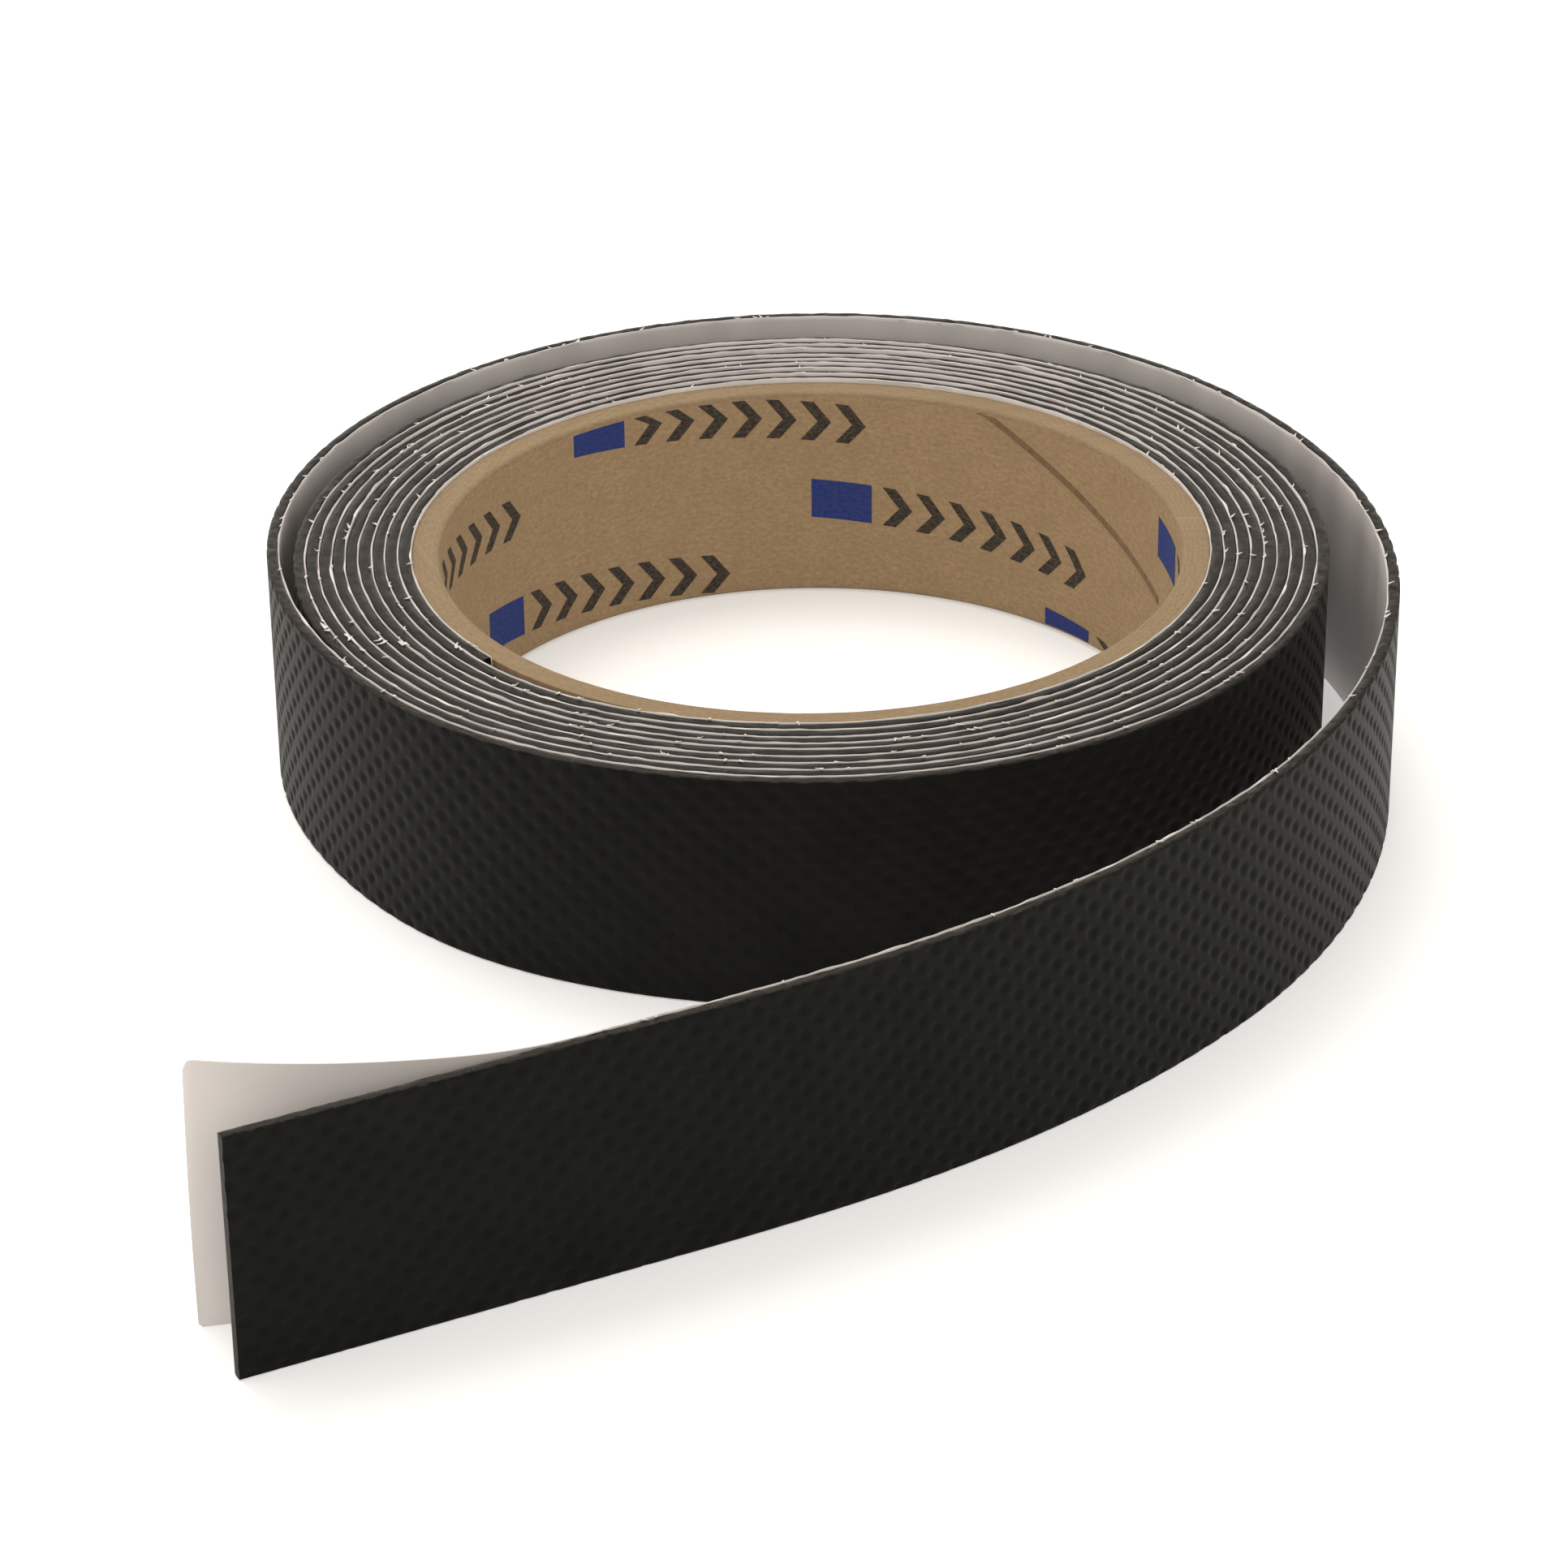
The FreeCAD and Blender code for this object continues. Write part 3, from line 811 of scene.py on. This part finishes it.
def patch(start, middle, corners, columns=8):
    """A four-sided patch of ink on the wall: points, faces and texture places. corners are (across, up)."""
    points, places, faces = [], [], []
    lower_first, lower_last, upper_last, upper_first = (np.array(corner, float) for corner in corners)
    for step in np.linspace(0, 1, columns + 1):
        for first, last in ((lower_first, lower_last), (upper_first, upper_last)):
            across, up = first + (last - first) * step
            up += middle + PRINT_SLOPE * across
            points.append(on_wall(start, across, up, INK_DEPTH))
            places.append((BORE * math.radians(start) - across, up))
    for column in range(columns):
        corner = 2 * column
        faces.append((corner, corner + 2, corner + 3, corner + 1))
    return points, faces, places


def ink_piece(name, patches, ink):
    """One piece from patches of the same ink."""
    points, faces, places = [], [], []
    for new_points, new_faces, new_places in patches:
        first = len(points)
        points += new_points
        places += new_places
        faces += [tuple(first + corner for corner in face) for face in new_faces]
    piece = make_piece(name, np.array(points), faces, np.array(places), [ink])
    piece.data.shade_smooth()
    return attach(piece, "roll")


# where each printed mark starts: its angle, and the height of its middle
MARKS = [(196.0, 20.2), (154.9, 5.9), (132.0, 23.3), (89.8, 11.5), (47.6, 0.4), (16.4, 19.4), (-25.0, 8.0),
         (-70.0, 20.5), (-108.0, 6.0)]
BLOCK_LENGTH, BLOCK_HEIGHT = 6.7, 4.6
CHEVRONS, CHEVRON_GAP, CHEVRON_PITCH, CHEVRON_STROKE, CHEVRON_REACH = 7, 1.2, 3.8, 1.5, 1.9


def chevron(start, middle, across):
    """An arrowhead of two slanting strokes."""
    half = BLOCK_HEIGHT / 2
    strokes = []
    for side in (-1, 1):
        lower, upper = sorted((0.0, side * half))
        first, last = across, across + CHEVRON_REACH
        if side > 0:
            first, last = last, first
        lower_edge = [(first, lower), (first + CHEVRON_STROKE, lower)]
        upper_edge = [(last + CHEVRON_STROKE, upper), (last, upper)]
        strokes.append(patch(start, middle, lower_edge + upper_edge, 3))
    return strokes


def print_pieces():
    """A repeating plain mark: a blue block and a row of dark arrowheads."""
    half = BLOCK_HEIGHT / 2
    block = [(0, -half), (BLOCK_LENGTH, -half), (BLOCK_LENGTH, half), (0, half)]
    ink_piece("core_print_blocks", [patch(start, middle, block) for start, middle in MARKS], BLUE)
    arrows = []
    for start, middle in MARKS:
        for number in range(CHEVRONS):
            arrows += chevron(start, middle, BLOCK_LENGTH + CHEVRON_GAP + number * CHEVRON_PITCH)
    ink_piece("core_print_arrows", arrows, BLACK)


# the seam: its angle, how far above the print it starts, how far it runs and falls, and how the fall eases
SEAM_START, SEAM_TOP, SEAM_RUN, SEAM_FALL, SEAM_EASE = 61.5, 0.3, 30.5, 16.2, 4.0
SEAM_STEPS = 60
# the step's profile: how far up the wall and how far in from it
SEAM_PROFILE = [(0.0, -0.02), (0.0, 0.09), (0.16, 0.09), (0.8, 0.012), (0.8, -0.02)]


def seam_piece():
    """The innermost ply's edge: a low step that runs down the wall at the winding's slant."""
    rings, places = [], []
    for part in np.linspace(0, 1, SEAM_STEPS):
        across = SEAM_RUN * part
        up = PRINT_HIGH + SEAM_TOP - SEAM_FALL * part + SEAM_EASE * part**2
        for shift, inward in SEAM_PROFILE:
            rings.append(on_wall(SEAM_START, across, up + shift, inward))
            places.append((across, up + shift))
    shape = (SEAM_STEPS, len(SEAM_PROFILE))
    rings = np.array(rings).reshape(*shape, 3)[:, ::-1]
    piece = loft("core_ply_seam", rings, np.array(places).reshape(*shape, 2), [0] * shape[1], [KRAFT_SEAM])
    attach(piece, "roll")


# ---------------------------------------------------------------- light and floor
FLOOR_HALF = 4.0
FLOOR_WHITE, FLOOR_GLOW = 0.93, 0.3


def stage_floor():
    """A wide white floor, which glows a little so that it stays white to its edges."""
    corners = [(-1, -1), (1, -1), (1, 1), (-1, 1)]
    mesh = bpy.data.meshes.new("floor")
    mesh.from_pydata([(FLOOR_HALF * x, FLOOR_HALF * y, 0) for x, y in corners], [], [(0, 1, 2, 3)])
    floor = bpy.data.objects.new("floor", mesh)
    bpy.context.scene.collection.objects.link(floor)
    made, _, shader = material("floor_white")
    shader.inputs["Base Color"].default_value = (FLOOR_WHITE, FLOOR_WHITE, FLOOR_WHITE, 1)
    shader.inputs["Roughness"].default_value = 0.9
    shader.inputs["Specular IOR Level"].default_value = 0.1
    shader.inputs["Emission Color"].default_value = (1.0, 1.0, 1.0, 1)
    shader.inputs["Emission Strength"].default_value = FLOOR_GLOW
    mesh.materials.append(made)


# each softbox: its name, place in metres, size in metres and power in watts
SOFTBOXES = [
    ("key", (-0.15, 0.35, 0.75), (0.6, 0.6), 4.0),
    ("right", (0.75, -0.2, 0.3), (0.5, 0.5), 0.6),
    ("left", (-0.75, -0.1, 0.3), (0.5, 0.5), 0.9),
    ("front", (0.0, -0.9, 0.5), (0.6, 0.3), 1.6),
    ("back", (-0.15, 1.2, 0.28), (1.4, 0.2), 2.5),
]
SOFTBOX_COLOUR = (1.0, 0.955, 0.89)
SOFTBOX_TARGET = Vector((0, -0.03, 0.01))
SURROUND_COLOUR, SURROUND_STRENGTH = (1.0, 0.965, 0.905, 1), 0.72


def softbox(name, place, size, power):
    """A rectangular light that faces the object."""
    data = bpy.data.lights.new(name, "AREA")
    data.shape = "RECTANGLE"
    data.size, data.size_y = size
    data.energy = power
    data.color = SOFTBOX_COLOUR
    lamp = bpy.data.objects.new(name, data)
    lamp.location = place
    lamp.rotation_euler = (SOFTBOX_TARGET - Vector(place)).to_track_quat("-Z", "Y").to_euler()
    bpy.context.scene.collection.objects.link(lamp)


def studio():
    """The floor, the even surround and the softboxes."""
    stage_floor()
    world = bpy.data.worlds.new("studio")
    bpy.context.scene.world = world
    world.use_nodes = True
    background = world.node_tree.nodes["Background"]
    background.inputs["Color"].default_value = SURROUND_COLOUR
    background.inputs["Strength"].default_value = SURROUND_STRENGTH
    for name, place, size, power in SOFTBOXES:
        softbox(name, place, size, power)
    bpy.context.scene.view_settings.view_transform = "Standard"


# ---------------------------------------------------------------- the camera
# the camera's place in millimetres, its aim in degrees and its focal length in millimetres
CAMERA_PLACE = (0.0, -467.9, 245.8)
CAMERA_YAW, CAMERA_PITCH, CAMERA_ROLL = np.radians((-0.37, 28.10, -0.65))
CAMERA_LENS = 115.5


def camera():
    """A long lens in front of the roll, looking down on it."""
    yaw, pitch, roll = CAMERA_YAW, CAMERA_PITCH, CAMERA_ROLL
    forward = Vector((math.sin(yaw) * math.cos(pitch), math.cos(yaw) * math.cos(pitch), -math.sin(pitch)))
    right = Vector((math.cos(yaw), -math.sin(yaw), 0))
    up = right.cross(forward)
    side = math.cos(roll) * right + math.sin(roll) * up
    top = -math.sin(roll) * right + math.cos(roll) * up
    data = bpy.data.cameras.new("camera")
    data.lens = CAMERA_LENS
    data.sensor_width = 36.0
    data.clip_start, data.clip_end = 0.01, 50
    viewer = bpy.data.objects.new("camera", data)
    axes = Matrix((side, top, -forward)).transposed()
    viewer.matrix_world = Matrix.Translation(Vector(CAMERA_PLACE) * MM) @ axes.to_4x4()
    bpy.context.scene.collection.objects.link(viewer)
    bpy.context.scene.camera = viewer


camera()
studio()
wound_pieces()
loose_pieces()
tab_pieces()
core_pieces()
print_pieces()
seam_piece()
